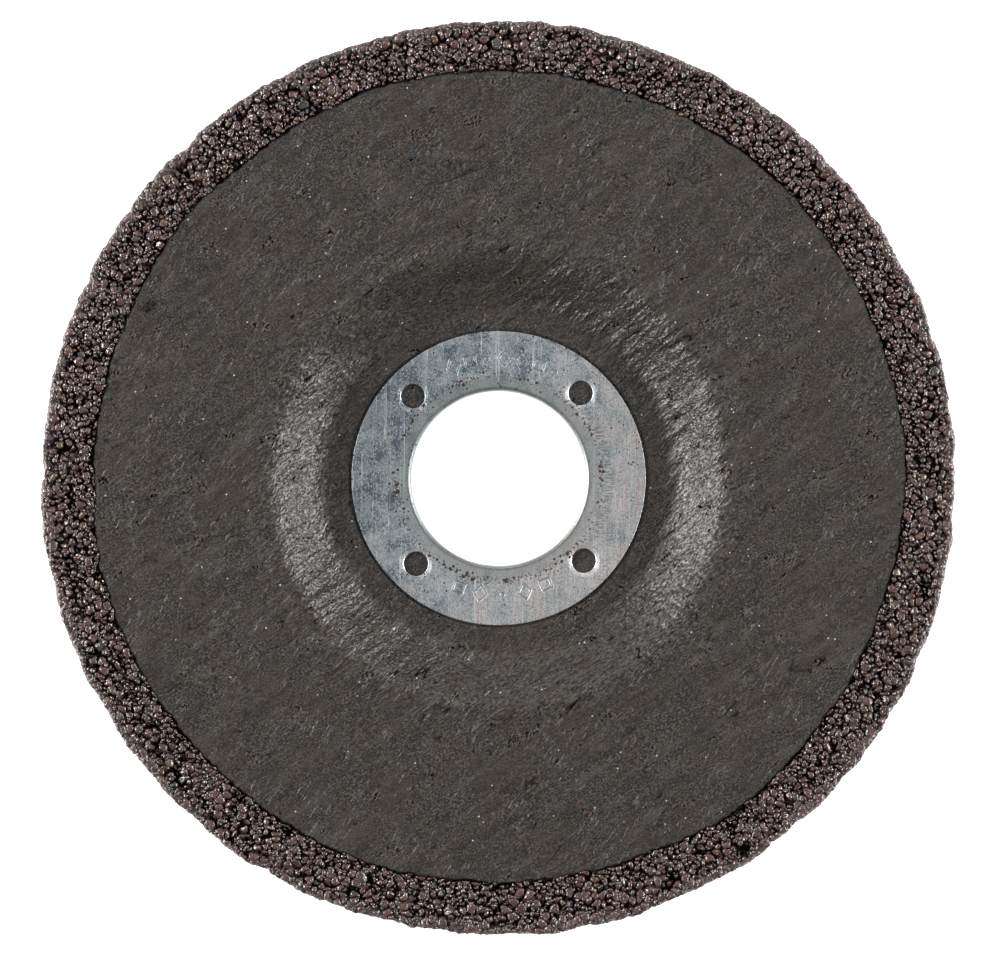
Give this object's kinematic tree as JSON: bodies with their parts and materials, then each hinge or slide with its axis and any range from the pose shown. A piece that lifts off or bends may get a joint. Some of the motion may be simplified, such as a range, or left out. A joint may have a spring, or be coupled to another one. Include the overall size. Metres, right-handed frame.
{
  "type": "angle grinder grinding wheel",
  "caption": "Depressed-centre bonded abrasive wheel for an angle grinder, with a recessed hub, a steel ring round its bore, a paper facing and an exposed abrasive rim.",
  "frame": {"origin": "centre of the bore on the back of the hub, the lowest plane, so the wheel lies with its recess up", "axes": "+Z along the bore axis, from the machine side to the work side; the ring's anchor holes lie near the diagonals between X and Y"},
  "size_m": [0.115, 0.115, 0.0106],
  "materials": {
    "bonded_grain": "rough",
    "facing_paper": "satin",
    "glass_net": "satin",
    "label_print": "satin",
    "zinc_plated_steel": "satin"
  },
  "bodies": {
    "root": {"arbor_ring": "zinc_plated_steel", "front_paper": "facing_paper", "front_glass_net": "glass_net", "front_abrasive_layer": "bonded_grain", "middle_glass_net": "glass_net", "back_abrasive_layer": "bonded_grain", "hub_glass_net": "glass_net", "back_glass_net": "glass_net", "label": "label_print"}
  },
  "joints": []
}
